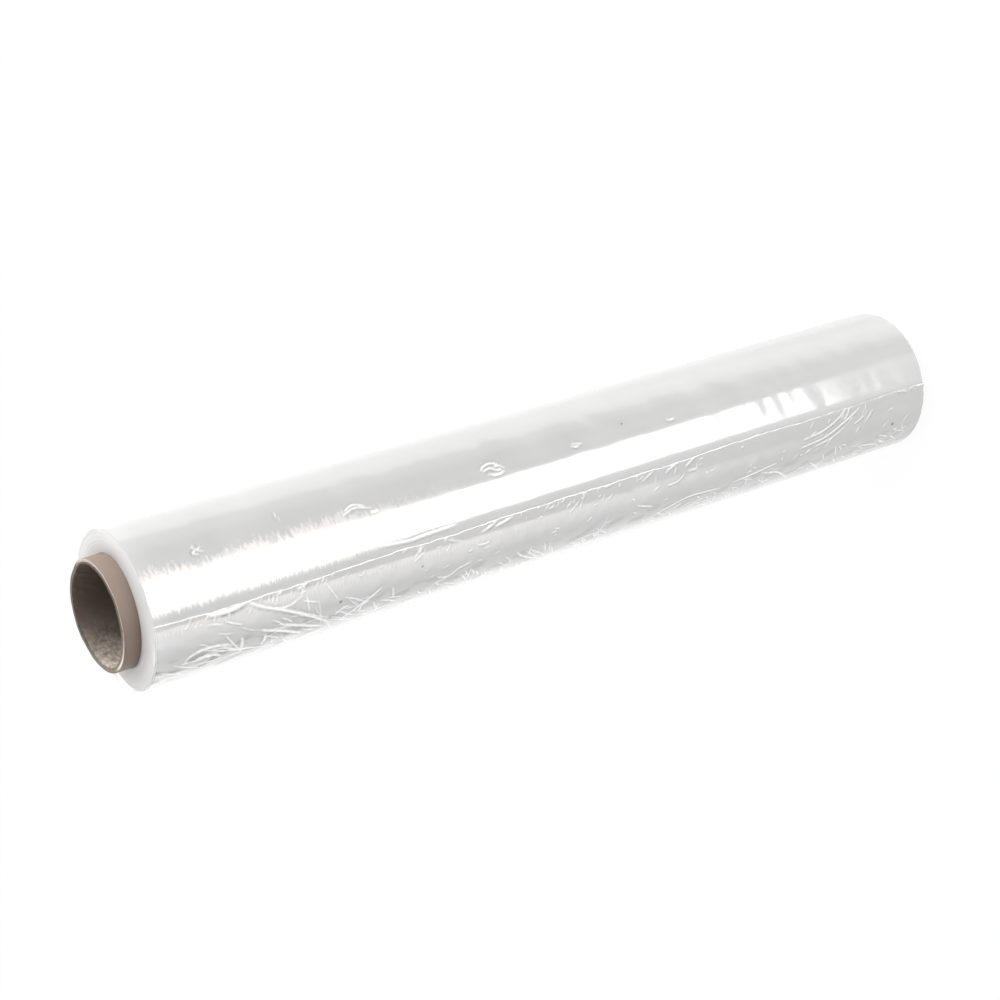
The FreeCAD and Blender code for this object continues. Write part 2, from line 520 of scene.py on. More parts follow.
@dataclass(frozen=True)
class Board:
    """Grey-brown core board: smooth outside, fibrous lining and a paler cut edge."""

    face: BoardFace
    dark: tuple[float, float, float]
    pale: tuple[float, float, float]
    roughness: float
    grain: float
    relief: float

    def make(self) -> bpy.types.Material:
        """Build the material.

        Returns:
            The finished material.
        """
        material = bpy.data.materials.new(self.face.value)
        material.use_nodes = True
        bench = Bench(material.node_tree)
        place = bench.node("ShaderNodeTexCoord").out("Object")
        cloud = bench.noise(place, 55.0, 4.0, 0.6)
        fibres = self._fibres(bench, place)
        wear_and_light = self._wear_and_light(bench, place)
        share = ((cloud - 0.5) * 1.1 + (fibres - 0.5) * self.grain * wear_and_light + 0.5).clamped()
        relief = {"Strength": 0.7, "Distance": self.relief * MM, "Height": fibres * wear_and_light}
        shader = {
            "Base Color": self._tone(bench, place, share),
            "Roughness": self.roughness + (cloud - 0.5) * 0.1,
            "Specular IOR Level": 0.3,
            "Normal": bench.node("ShaderNodeBump", {}, relief),
        }
        surface = bench.node("ShaderNodeBsdfPrincipled", {}, shader)
        bench.node("ShaderNodeOutputMaterial", {}, {"Surface": surface})
        return material

    def _tone(self, bench: Bench, place: Wire, share: Wire) -> Wire:
        """Colour of the board.

        Args:
            bench: The material's nodes.
            place: Object coordinates.
            share: 0 for the dark tone, 1 for the pale one.

        Returns:
            The colour.
        """
        return bench.blend(share, (*self.dark, 1.0), (*self.pale, 1.0))

    def _wear_and_light(self, bench: Bench, place: Wire) -> Wire | float:
        """Share of the fibres that stand out at a place; in the lining it also paints light and shade."""
        return 1.0

    def _fibres(self, bench: Bench, place: Wire) -> Wire:
        """Paper fibres, which lie two ways.

        Args:
            bench: The material's nodes.
            place: Object coordinates.

        Returns:
            Height and tone of the fibres, from 0 to 1.
        """
        first = bench.noise(bench.stretched(place, (560.0, 560.0, 210.0)), 1.0, 4.0, 0.7)
        second = bench.noise(bench.stretched(place, (240.0, 240.0, 700.0)), 1.0, 3.0, 0.6)
        return (first + second) * 0.5


@dataclass(frozen=True)
class OuterBoard(Board):
    """Outside of the core, with painted shade on its underside, deepest as a painted contact shadow where it comes
    out of the film's top end.
    """

    joint: float = 0.5097

    def _tone(self, bench: Bench, place: Wire, share: Wire) -> Wire:
        """Colour of the outside, with painted shade.

        Args:
            bench: The material's nodes.
            place: Object coordinates.
            share: 0 for the dark tone, 1 for the pale one.

        Returns:
            The colour.
        """
        plain = bench.blend(share, (*self.dark, 1.0), (*self.pale, 1.0))
        x = bench.node("ShaderNodeSeparateXYZ", {}, [place])
        # Painted shade: darker on the side turned down, and darker still next to the film's top end as a painted
        # contact shadow.
        under = (x * -0.766 - x.out("Y") * 0.643) / MM / 28.0
        gap = (x.out("Z") - self.joint) / MM
        shade = under.step(0.55, 0.55) * 0.55 + (1 - gap.step(3.0, 4.0)) * under.step(0.3, 0.7) * 0.45
        return bench.blend(shade, plain, tuple(tone * 0.42 for tone in self.dark) + (1.0,))


@dataclass(frozen=True)
class LiningBoard(Board):
    """Lining of the core, smooth and dark on one side as painted shade, with its fibres torn up and pale on the
    other as painted light.
    """

    # Dark tone of the smooth side, which is painted shade.
    smooth: tuple[float, float, float] = (0.095, 0.070, 0.054)

    def _tone(self, bench: Bench, place: Wire, share: Wire) -> Wire:
        """Colour of the lining.

        Args:
            bench: The material's nodes.
            place: Object coordinates.
            share: 0 for the dark tone, 1 for the pale one.

        Returns:
            The colour.
        """
        rough = bench.blend(share, (*self.dark, 1.0), (*self.pale, 1.0))
        # Painted shade: the smooth dark tone on the +X side; painted light: the pale torn fibres towards -X.
        return bench.blend(self._wear_and_light(bench, place), (*self.smooth, 1.0), rough)

    def _wear_and_light(self, bench: Bench, place: Wire) -> Wire:
        """Share of the pale torn fibres at a place, which grows towards -X: painted light there, and painted shade
        on the +X side.
        """
        x = bench.node("ShaderNodeSeparateXYZ", {}, [place])
        return (-x / MM).step(5.0, 14.0)


@dataclass(frozen=True)
class CutBoard(Board):
    """Cut edge of the core: a pale outer ply towards the front, and dark frayed board everywhere else, whose
    darkness is partly painted shade.
    """

    frayed: tuple[float, float, float] = (0.13, 0.115, 0.095)
    ply_radius: float = 26.8

    def _tone(self, bench: Bench, place: Wire, share: Wire) -> Wire:
        """Colour of the cut edge.

        Args:
            bench: The material's nodes.
            place: Object coordinates.
            share: 0 for the dark tone, 1 for the pale one.

        Returns:
            The colour.
        """
        clean = bench.blend(share, (*self.dark, 1.0), (*self.pale, 1.0))
        x = bench.node("ShaderNodeSeparateXYZ", {}, [place])
        y = x.out("Y")
        radius = (x * x + y * y).math("SQRT") / MM
        facing = (x * 0.208 - y * 0.978) / MM / radius
        ply = radius.step(self.ply_radius + (share - 0.5) * 1.2, 0.4)
        # Dark frayed board away from the front, partly painted shade; the pale outer ply shows only towards the
        # front, partly painted light.
        return bench.blend(ply * facing.step(0.02, 0.2), (*self.frayed, 1.0), clean)


# Pieces.


@dataclass(frozen=True)
class RollSize:
    """Sizes that the pieces share, in millimetres. They are those of the CAD part."""

    bore: float = 25.0
    core: float = 28.2
    film: float = 40.3
    rim: float = 1.2
    step: float = 0.3
    bottom: float = 9.7
    top: float = 509.7
    length: float = 519.4


@dataclass(frozen=True)
class Fold:
    """One crease of the film: its size as a share of a full one, and a route of depth and turn."""

    size: float
    route: Route


@dataclass(frozen=True)
class StrokePatch:
    """Patch of short fine creases: its place, how many there are, and their slant and length."""

    depths: tuple[float, float]
    turns: tuple[float, float]
    count: int
    slant: float
    length: float


FREE_EDGE: Route = (
    (0, -18.0),
    (28, -19.2),
    (48, -19.6),
    (100, -18.6),
    (135, -17.0),
    (150, -18.3),
    (205, -16.6),
    (330, -16.0),
    (350, -14.4),
    (415, -15.0),
    (500, -13.5),
)

FOLDS = (
    Fold(1.0, ((48, -19), (58, -28), (71, -37), (84, -48), (97, -62))),
    Fold(0.6, ((60, -30), (70, -33), (79, -28))),
    Fold(1.0, ((56, -46), (69, -54), (81, -64))),
    Fold(1.0, ((66, -46), (80, -55), (93, -64))),
    Fold(1.0, ((125, -42), (113, -53), (103, -63))),
    Fold(0.8, ((35, -50), (43, -57), (55, -63))),
    Fold(0.8, ((46, -47), (46.5, -54), (46.5, -61))),
    Fold(0.7, ((158, -50), (165, -53), (171, -48), (179, -45))),
    Fold(0.8, ((208, -51), (213, -58), (224, -67))),
    Fold(0.6, ((217, -53), (221, -57), (226, -62))),
    Fold(1.0, ((297, -64), (309, -57), (325, -51), (347, -53))),
    Fold(1.0, ((355, -51), (368, -49), (387, -45))),
    Fold(0.8, ((376, -51), (389, -56), (397, -64), (404, -72))),
    Fold(1.0, ((404, -31), (420, -28), (432, -21), (440, -12))),
    Fold(1.2, ((402, -38), (420, -35), (435, -27), (448, -18))),
    Fold(0.8, ((414, -41), (427, -37), (437, -30))),
    Fold(0.9, ((306, -33), (313, -32), (318, -27))),
    Fold(0.8, ((443, -31), (447, -29), (451, -26))),
    Fold(0.8, ((452, -32), (455, -28), (458, -23))),
    Fold(0.8, ((454, -57), (462, -60), (470, -63))),
    Fold(1.2, ((27, -20.8), (33, -22.3), (41, -22.4), (49, -20.2))),
    Fold(0.7, ((59, -51), (59, -57), (58, -62))),
    Fold(0.6, ((98, -55), (103, -50), (107, -51))),
    Fold(0.7, ((113, -60), (114, -54), (118, -51))),
    Fold(0.5, ((27, -28), (31, -29), (35, -31))),
    Fold(0.7, ((15, -57), (19, -49), (30, -47), (42, -51))),
    Fold(0.7, ((20, -58), (25, -54), (32, -56), (36, -60))),
    Fold(0.6, ((22, -57), (27, -55), (30, -57))),
    Fold(0.6, ((66, -22), (67, -20.5), (68, -19))),
    Fold(0.6, ((76, -22.5), (80, -21), (83, -18.5))),
    Fold(0.7, ((143.5, -26), (146, -23), (148, -19.5))),
    Fold(0.3, ((160, -19), (166, -22), (172, -25))),
    Fold(0.7, ((181, -32), (186, -33), (189, -32))),
    Fold(0.7, ((180, -54), (182, -58), (183, -62))),
    Fold(0.7, ((183, -57), (185, -61), (186, -65))),
    Fold(0.6, ((214, -53), (220, -60), (225, -66))),
    Fold(0.6, ((226, -21.5), (228, -21), (230, -20.5))),
    Fold(0.7, ((224, -17), (226, -14), (226, -12))),
    Fold(0.6, ((240, -29), (243, -26), (246, -23))),
    Fold(0.6, ((125, -55), (131, -59), (136, -63))),
    Fold(0.5, ((131, -45), (132, -52), (133, -58))),
    Fold(0.6, ((260, -18.5), (260.3, -17), (260.5, -15))),
    Fold(0.6, ((263, -18.5), (267, -17.5), (270, -17))),
    Fold(0.5, ((286, -21), (288, -20), (289, -19))),
    Fold(0.6, ((296.5, -34), (299, -32), (301, -31))),
    Fold(0.6, ((320, -26), (324, -26), (327, -26))),
    Fold(0.5, ((358, -21), (359, -20.5), (360, -20))),
    Fold(0.7, ((286, -43), (292, -46), (298, -49))),
    Fold(0.7, ((315, -60), (318, -58), (320, -57))),
    Fold(0.6, ((330, -54), (332, -56), (333, -58))),
    Fold(0.8, ((435, -25), (438, -21), (440, -16))),
    Fold(0.6, ((440, -12), (445, -13), (450, -14))),
    Fold(0.7, ((408, -45), (410, -43), (412, -42))),
    Fold(0.6, ((420, -64), (423, -67), (425, -70))),
    Fold(0.6, ((452, -66), (454, -68), (456, -71))),
    Fold(0.7, ((478, -49), (480, -50), (482, -51))),
    Fold(0.9, ((192, -22), (198, -20.5), (204, -18.5))),
    Fold(0.9, ((318, -22), (322, -19), (326, -16))),
    Fold(0.8, ((143, -29), (146, -27), (149, -24.5))),
    Fold(0.8, ((184, -23), (190, -20.5), (194, -18))),
    Fold(0.7, ((288, -23), (292, -20.5), (296, -17.5))),
    Fold(0.7, ((304, -22), (309, -19), (314, -16.5))),
    Fold(0.4, ((472, -13), (480, -15), (487, -17))),
)

TIGHT_FOLDS = (
    Fold(0.6, ((125, -11.5), (142, -13.5), (150, -13), (170, -12.5))),
    Fold(0.6, ((30, 27), (32, 24.5), (30, 22), (33, 20))),
    Fold(0.5, ((35, 26), (33, 23.5), (36, 21))),
    Fold(0.8, ((112, 20), (118, 23), (124, 20))),
    Fold(0.7, ((110, 17), (118, 20.5), (127, 17))),
    Fold(0.5, ((125, 15), (128, 14), (130, 15))),
    Fold(1.1, ((193.5, 19.5), (195.5, 22.5), (200, 24), (204, 22), (205, 18.5))),
    Fold(1.0, ((194.5, 19), (199, 20.5), (202, 18), (206, 17))),
    Fold(0.8, ((197, 16), (202, 14.5), (207, 15.5))),
    Fold(0.7, ((201, 21), (205.5, 20), (207.5, 17))),
    Fold(0.7, ((250, 19), (253, 17.5), (256, 17))),
    Fold(0.6, ((251, 20.5), (254, 19.5), (258, 18))),
    Fold(0.6, ((314, 18), (317, 16.5), (320, 17))),
    Fold(0.35, ((78, 35), (78, 31), (79, 28))),
)

STROKES = (
    StrokePatch((6, 60), (-68, -50), 16, -12.0, 17.0),
    StrokePatch((60, 120), (-69, -46), 26, -34.0, 14.0),
    StrokePatch((120, 240), (-72, -54), 40, -50.0, 7.0),
    StrokePatch((240, 360), (-72, -56), 32, -35.0, 7.0),
    StrokePatch((360, 490), (-72, -50), 38, -30.0, 7.0),
    StrokePatch((120, 330), (-27, -18), 40, 50.0, 3.5),
    StrokePatch((14, 120), (-27, -18), 34, 55.0, 3.5),
    StrokePatch((20, 110), (-46, -30), 10, -30.0, 12.0),
    StrokePatch((150, 400), (-50, -28), 24, 20.0, 3.0),
    StrokePatch((400, 490), (-45, -14), 20, 40.0, 5.0),
    StrokePatch((100, 480), (-75, -58), 30, 10.0, 20.0),
)

# Specks of dirt: depth, turn and size.
SPECKS = (
    (100.5, -43.5, 0.8),
    (148.0, -35.5, 0.6),
    (287.0, 24.5, 0.5),
    (476.0, -43.0, 1.0),
    (2.5, 78.0, 0.6),
)


def smooth_route(route: Route, radius: float) -> np.ndarray:
    """Fine points on a smooth line through a route.

    Args:
        route: Depths and turns.
        radius: Radius of the roll that the route lies on.

    Returns:
        One row of depth and distance round the roll for each point, in millimetres.
    """
    knots = np.array([(depth, math.radians(turn) * radius) for depth, turn in route])
    padded = np.vstack([2 * knots[0] - knots[1], knots, 2 * knots[-1] - knots[-2]])
    points = []
    for index in range(len(knots) - 1):
        before, start, end, after = padded[index : index + 4]
        count = max(3, int(np.linalg.norm(end - start) / 1.2))
        for share in np.arange(count) / count:
            bend = (2 * before - 5 * start + 4 * end - after) * share**2
            swing = (3 * start - before - 3 * end + after) * share**3
            points.append((2 * start + (end - before) * share + bend + swing) / 2)
    points.append(knots[-1])
    return np.array(points)


class FoldField:
    """Heights of creases over a set of places on the film's side."""

    def __init__(self, depth: np.ndarray, turn: np.ndarray, radius: float) -> None:
        """Start flat.

        Args:
            depth: Depth of each place below the film's top end.
            turn: Turn of each place from the front, in degrees.
            radius: Radius of the roll.
        """
        self.depth = depth
        self.round = np.radians(turn) * radius
        self.radius = radius
        self.height = np.zeros_like(self.depth)
        self.crest = np.zeros_like(self.depth)
        self.border_shade = np.zeros_like(self.depth)
        self.random = np.random.default_rng(2)

    def press(self, fold: Fold, height: float, width: float) -> None:
        """Raise a sharp crease with a shallow dip to each side.

        Args:
            fold: The crease.
            height: Height of a full crease.
            width: Half its width.
        """
        line = smooth_route(fold.route, self.radius)
        margin = 4 * width
        low, high = line.min(0) - margin, line.max(0) + margin
        inside = (self.depth > low[0]) & (self.depth < high[0]) & (self.round > low[1]) & (self.round < high[1])
        near = np.flatnonzero(inside)
        if not len(near):
            return
        places = np.stack([self.depth[near], self.round[near]], 1)
        starts, runs = line[:-1], np.diff(line, axis=0)
        lengths = np.linalg.norm(runs, axis=1)
        travelled = np.concatenate([[0.0], np.cumsum(lengths)])
        away = places[:, None, :] - starts[None]
        share = np.clip((away * runs).sum(2) / lengths**2, 0, 1)
        gaps = np.linalg.norm(away - share[..., None] * runs, axis=2)
        nearest = gaps.argmin(1)
        rows = np.arange(len(near))
        gap = gaps[rows, nearest] / width
        along = travelled[nearest] + share[rows, nearest] * lengths[nearest]
        swell = np.sqrt(np.clip(np.sin(math.pi * along / travelled[-1]), 0, 1))
        phase = self.random.uniform(0, 2 * math.pi)
        swell *= 0.8 + 0.2 * np.sin(along * 1.3 + phase)
        crest = np.exp(-(gap**2)) * swell * fold.size
        dip = np.exp(-((gap / 2.2) ** 2)) * swell * fold.size
        side = runs[nearest, 0] * away[rows, nearest, 1] - runs[nearest, 1] * away[rows, nearest, 0]
        # Painted shade beside a crease, deeper on one side.
        border_shade = np.exp(-(((gap - 2.4) / 1.2) ** 2)) * swell * fold.size * np.where(side < 0, 1.0, 0.4)
        self.height[near] += height * (crest - 0.35 * dip)
        self.crest[near] = np.maximum(self.crest[near], crest)
        self.border_shade[near] = np.maximum(self.border_shade[near], border_shade)

    def marks(self) -> np.ndarray:
        """Painted glints on the crests as numbers up to 1, and painted shade beside them as numbers below 0."""
        return np.minimum(2.2 * self.crest, 1) - 0.9 * self.border_shade * np.clip(1 - 2.5 * self.crest, 0, 1)

    def scatter(self, patch: StrokePatch, height: float, width: float) -> None:
        """Press a patch of short fine creases.

        Args:
            patch: The patch.
            height: Height of a full crease.
            width: Half its width.
        """
        for _ in range(patch.count):
            depth = self.random.uniform(*patch.depths)
            turn = self.random.uniform(*patch.turns)
            slant = math.radians(patch.slant + self.random.normal(0, 22))
            length = patch.length * self.random.uniform(0.5, 1.4)
            run = math.cos(slant) * length / 2
            climb = math.degrees(math.sin(slant) * length / 2 / self.radius)
            bow = self.random.normal(0, 0.8)
            route = ((depth - run, turn - climb), (depth, turn + bow), (depth + run, turn + climb))
            self.press(Fold(self.random.uniform(0.3, 0.7), route), height, width)

    def specks(self) -> np.ndarray:
        """Dirt on the places, from 0 to 1."""
        dirt = np.zeros_like(self.depth)
        for depth, turn, size in SPECKS:
            round_way = math.radians(turn) * self.radius
            gap = np.hypot(self.depth - depth, self.round - round_way) / size
            dirt = np.maximum(dirt, np.clip(1.5 - gap, 0, 1))
        return dirt


def ripple(depth: np.ndarray, turn: np.ndarray) -> np.ndarray:
    """Slow waves that uneven film builds up over many turns.

    Args:
        depth: Depth below the film's top end.
        turn: Turn from the front, in degrees.

    Returns:
        Height of the waves, in millimetres.
    """
    random = np.random.default_rng(11)
    height = np.zeros_like(depth)
    for _ in range(16):
        length = random.uniform(9.0, 42.0)
        lobes = int(random.integers(0, 7))
        phase = random.uniform(0, 2 * math.pi)
        size = 0.0004 * length
        height += size * np.cos(2 * math.pi * depth / length + lobes * np.radians(turn) + phase)
    upper = np.clip((turn - 6) / 20, 0, 1) * np.clip((120 - turn) / 30, 0, 1)
    for _ in range(6):
        length = random.uniform(20.0, 36.0)
        lobes = int(random.integers(9, 18))
        phase = random.uniform(0, 2 * math.pi)
        height += 0.006 * upper * np.cos(2 * math.pi * depth / length + lobes * np.radians(turn) + phase)
    lobed = np.exp(-(((depth - 382) / 36) ** 2))
    lobed *= np.clip((turn + 9) / 14, 0, 1) * np.clip((20 - turn) / 9, 0, 1)
    phase = 1.5 * np.sin(depth / 31) + 2.0 * np.radians(turn)
    height += 0.024 * lobed * np.cos(2 * math.pi * depth / 12.5 + phase)
    return height


def sag_shade(depth: np.ndarray, turn: np.ndarray) -> np.ndarray:
    """Painted shade: grey patches on the underside, where the loose film sags away from the light.

    Args:
        depth: Depth below the film's top end.
        turn: Turn from the front, in degrees.

    Returns:
        The patches, from 0 to 1.
    """
    random = np.random.default_rng(7)
    field = np.zeros_like(depth)
    for _ in range(12):
        along = random.uniform(14.0, 48.0)
        lobes = random.uniform(14.0, 34.0) * random.choice((-1.0, 1.0))
        phase = random.uniform(0, 2 * math.pi)
        field += np.cos(2 * math.pi * depth / along + lobes * np.radians(turn) + phase)
    zone = np.clip((-44 - turn) / 9, 0, 1) * np.clip((turn + 84) / 14, 0, 1)
    return np.clip(field / 2.4 - 0.2, 0, 1) * zone * (0.35 + 0.65 * np.exp(-((depth / 115) ** 2)))


def slack(depth: np.ndarray, turn: np.ndarray) -> np.ndarray:
    """Short waves of the loose outer turn.

    Args:
        depth: Depth below the film's top end.
        turn: Turn from the front, in degrees.

    Returns:
        Height of the waves, in millimetres.
    """
    random = np.random.default_rng(5)
    height = np.zeros_like(depth)
    for _ in range(22):
        heading = random.uniform(0, math.pi)
        length = random.uniform(5.0, 15.0)
        phase = random.uniform(0, 2 * math.pi)
        way = math.cos(heading) * depth + math.sin(heading) * np.radians(turn) * 40
        height += 0.0007 * length * np.cos(2 * math.pi * way / length + phase)
    return height * (1 + 0.8 * np.exp(-((depth / 110) ** 2)))


def rim_drop(distance: np.ndarray, rim: float) -> np.ndarray:
    """How far a rounded rim falls away.

    Args:
        distance: Distance from the film's end along the roll.
        rim: Radius of the rounding.

    Returns:
        The drop below the film's side.
    """
    left = np.clip(rim - distance, 0, rim)
    return rim - np.sqrt(rim**2 - left**2)


@dataclass
class FilmRoll:
    """The wound web: its tight winding with both end faces, and the loose free end that laps over it."""

    size: RollSize
    columns: int = 154
    front_columns: int = 56
    front_turns: tuple[float, float] = (-20.0, 26.0)
    rings: int = 22
    hide: float = 0.45
    lap_turn: float = -104.0
    lap_fade: float = 16.0
    wrinkled_turn: float = -67.0
    wrinkled_share: float = 0.74
    sheet_columns: int = 106
    sheet_rows: int = 820
    ledge: float = 1.3
    rim_wobble: float = 0.10
    crease_height: float = 0.42
    crease_width: float = 0.46
    side: bpy.types.Material = field(init=False)
    end: bpy.types.Material = field(init=False)

    def __post_init__(self) -> None:
        """Make the two finishes that both pieces share."""
        self.side = FilmSide(film_top=self.size.top * MM).make()
        self.end = FilmEnd(core_radius=self.size.core, build=self.size.film - self.size.core).make()

    def build(self) -> None:
        """Build both pieces and hang them on the frame."""
        join_frame(self.make_winding(), "film")
        join_frame(self.make_free_end(), "film")

    def free_edge(self, depth: np.ndarray) -> np.ndarray:
        """Turn of the free edge at each depth."""
        depths, turns = zip(*FREE_EDGE)
        wander = 0.25 * np.sin(depth / 7.3) + 0.2 * np.sin(depth / 3.1 + 1) + 0.12 * np.sin(depth / 1.3)
        return np.interp(depth, depths, turns) + wander

    def wound_radius(self, depth: np.ndarray, turn: np.ndarray) -> np.ndarray:
        """Radius of the tight winding, which is a step lower above the free edge and lower still under it.

        Args:
            depth: Depth below the film's top end.
            turn: Turn from the front, in degrees.

        Returns:
            The radius.
        """
        past = np.mod(turn - self.free_edge(depth), 360.0)
        radius = np.full_like(past, self.size.film)
        spiral = past < 180
        radius[spiral] -= self.size.step / 2 * (1 + np.cos(np.radians(past[spiral])))
        start = np.mod(self.lap_turn - self.free_edge(depth), 360.0)
        under = np.clip((past - start) / self.lap_fade, 0, 1) * np.clip((360 - past) / 1.2, 0, 1)
        radius -= self.hide * under * under * (3 - 2 * under)
        radius[~spiral] -= self.size.step * np.clip(1 - (360 - past[~spiral]) / 1.2, 0, 1)
        return radius + ripple(depth, turn)

    def make_winding(self) -> bpy.types.Object:
        """Tight winding: a barrel with rounded rims, ringed end faces and a bore for the core.

        Returns:
            The finished piece.
        """
        size = self.size
        middle = (size.bottom + size.top) / 2 * MM
        bpy.ops.object.select_all(action="DESELECT")
        bpy.ops.mesh.primitive_cylinder_add(
            vertices=self.columns,
            radius=size.film * MM,
            depth=(size.top - size.bottom) * MM,
            end_fill_type="NGON",
            location=(0, 0, middle),
        )
        piece = bpy.context.object
        piece.name = "film_winding"
        settle_transform(piece)
        with edit_mode(piece):
            pick_edges(piece, lambda edge: rises(edge) < 1)
            bpy.ops.mesh.bevel(offset=size.rim * MM, segments=4, affect="EDGES")
            pick_faces(piece, lambda face: len(face.verts) > 8)
            ring = (size.film - size.rim - size.core) / self.rings
            for _ in range(self.rings):
                bpy.ops.mesh.inset(thickness=ring * MM)
            bpy.ops.mesh.delete(type="FACE")
            pick_edges(piece, lambda edge: edge.is_boundary)
            bpy.ops.mesh.bridge_edge_loops()
            for cuts in (24, 19):
                pick_edges(piece, lambda edge: rises(edge) > 5 and reach(edge.verts[0]) > size.film - 0.5)
                bpy.ops.mesh.subdivide(number_cuts=cuts)
            bpy.ops.mesh.select_all(action="SELECT")
            bpy.ops.mesh.normals_make_consistent(inside=False)
        self.shape_winding(piece)
        self.dress(piece)
        return piece

    def shape_winding(self, piece: bpy.types.Object) -> None:
        """Close up the columns at the front, and give the barrel its spiral step, waves, rings and creases.

        Args:
            piece: The plain barrel.
        """
        size = self.size
        points = read_points(piece)
        radius = np.hypot(points[:, 0], points[:, 1])
        share = np.mod(np.arctan2(points[:, 1], points[:, 0]) / (2 * math.pi), 1.0)
        share = np.floor(share * self.columns + 0.01) % self.columns
        front, back = self.front_turns
        turn = np.interp(share, (0, self.front_columns, self.columns), (front, back, front + 360.0))
        turn = np.mod(turn + 180, 360) - 180
        depth = size.top - points[:, 2]
        wound = self.wound_radius(depth, turn)
        outward = np.clip((radius - size.core) / (size.film - size.core), 0, 1)
        folds = FoldField(depth, turn, size.film)
        for fold in TIGHT_FOLDS:
            folds.press(fold, self.crease_height, self.crease_width)
        on_side = np.clip((radius - size.film + 0.6) / 0.3, 0, 1)
        radius += (wound - size.film) * outward + folds.height * on_side
        pitch = (size.film - size.core) / 6
        spiral = np.mod((radius - size.core) / pitch - turn / 360, 1.0)
        crown = 0.30 * np.sin(math.pi * np.clip((radius - size.core) / (size.film - size.core), 0, 1))
        relief = crown + 0.03 * np.cos(2 * math.pi * spiral) - 0.33
        angle = np.radians(turn)
        ledge = self.ledge * np.exp(-(((radius - size.core) / 4) ** 2)) * np.clip(np.cos(angle + 0.6), 0, 1)
        at_end = (radius > size.core - 0.1) & (radius < size.film - 0.9)
        wobble = np.sin(4 * angle) + np.sin(9 * angle + 1) + 0.7 * np.sin(23 * angle + 2)
        for end, way in ((size.top, 1.0), (size.bottom, -1.0)):
            distance = np.abs(points[:, 2] - end)
            flat = at_end & (distance < 0.5)
            points[flat, 2] += way * (relief[flat] + (ledge[flat] if end == size.top else 0))
            on_rim = np.clip(1 - distance / 4, 0, 1) * outward**2
            points[:, 2] += way * self.rim_wobble * wobble * on_rim
        points[:, 0] = radius * np.sin(angle)
        points[:, 1] = -radius * np.cos(angle)
        write_points(piece, points)
        # Painted glints on the crease crests, and painted shade beside them.
        store_mask(piece, "crease", folds.marks() * on_side)
        store_mask(piece, "dirt", folds.specks())

    def make_free_end(self) -> bpy.types.Object:
        """Loose free end: a thin lap from the free edge back round the front, with all its creases.

        Returns:
            The finished piece.
        """
        bpy.ops.object.select_all(action="DESELECT")
        bpy.ops.mesh.primitive_grid_add(x_subdivisions=self.sheet_columns, y_subdivisions=self.sheet_rows, size=1)
        piece = bpy.context.object
        piece.name = "film_free_end"
        self.shape_free_end(piece)
        self.dress(piece)
        return piece

    def shape_free_end(self, piece: bpy.types.Object) -> None:
        """Roll a flat grid round the winding, and press the creases into it.

        Args:
            piece: The grid, one unit each way about the origin.
        """
        size = self.size
        flat = read_points(piece) * MM + 0.5
        across, up = flat[:, 0], flat[:, 1]
        inset = 0.25
        depth = inset + (1 - up) * (size.top - size.bottom - 2 * inset)
        edge = self.free_edge(depth)
        loose = 1 - self.wrinkled_share
        shallow = self.lap_turn + (self.wrinkled_turn - self.lap_turn) * across / loose
        dense = self.wrinkled_turn + (edge - self.wrinkled_turn) * (across - loose) / self.wrinkled_share
        turn = np.where(across < loose, shallow, dense)
        folds = FoldField(depth, turn, size.film)
        for fold in FOLDS:
            bold = 1 + 0.5 * math.exp(-((fold.route[0][0] / 110) ** 2))
            folds.press(fold, self.crease_height * bold, self.crease_width * bold)
        for patch in STROKES:
            folds.scatter(patch, self.crease_height * 0.8, self.crease_width * 0.8)
        calm = np.clip((turn - self.lap_turn) / 30, 0, 1) * np.clip((edge - turn) / 3, 0, 1)
        radius = size.film + ripple(depth, turn) + folds.height + slack(depth, turn) * calm
        sunk = np.clip(1 - (turn - self.lap_turn) / self.lap_fade, 0, 1)
        radius -= self.hide * sunk * sunk * (3 - 2 * sunk)
        column = 1 / self.sheet_columns
        lip = np.clip((across - (1 - 2.2 * column)) / (1.2 * column), 0, 1)
        faded = np.clip((depth - 405) / 25, 0, 1) * np.clip((482 - depth) / 6, 0, 1)
        radius += 0.04 * lip * (1 - 1.4 * faded)
        last = across > 1 - 0.5 * column
        corner = np.exp(-(((size.top - size.bottom - depth) / 4) ** 2)) * np.clip(1 - (edge - turn) / 5, 0, 1)
        radius += np.where(last, -size.step - 0.45, 0.8 * corner)
        distance = np.minimum(depth, size.top - size.bottom - depth)
        radius -= rim_drop(distance, size.rim)
        radius -= 1.6 * (distance < inset + 0.1)
        angle = np.radians(turn)
        wobble = np.sin(7 * angle) + np.sin(19 * angle + 1) + np.sin(41 * angle + 2)
        lift = self.rim_wobble * wobble * np.clip(1 - distance / 4, 0, 1)
        points = np.stack([radius * np.sin(angle), -radius * np.cos(angle), size.top - depth + lift], 1)
        write_points(piece, points)
        # Painted glint along the free edge, fading where the highlight breaks up.
        tail = np.clip((across - (1 - 2.0 * column)) / column, 0, 1) * ~last
        glint = (0.42 + 0.34 * np.sin(depth / 2.9) * np.sin(depth / 9.7 + 1)) * (1 - 0.92 * faded)
        marks = folds.marks()
        # Painted shade in sagging patches on the underside, where no crest is.
        marks = np.where(marks > 0.05, marks, np.minimum(marks, -sag_shade(depth, turn)))
        store_mask(piece, "crease", np.maximum(marks, tail * glint - (tail == 0)))
        store_mask(piece, "dirt", folds.specks())

    def dress(self, piece: bpy.types.Object) -> None:
        """Smooth a film piece and give its side and its end faces their finishes.

        Args:
            piece: The shaped piece.
        """
        select_only(piece)
        bpy.ops.object.shade_smooth()
        piece.data.materials.append(self.side)
        piece.data.materials.append(self.end)
        inner = (self.size.film - self.size.rim * 0.6) * MM
        for polygon in piece.data.polygons:
            centre = polygon.center
            at_end = abs(polygon.normal.z) > 0.75 and math.hypot(centre.x, centre.y) < inner
            polygon.material_index = 1 if at_end else 0


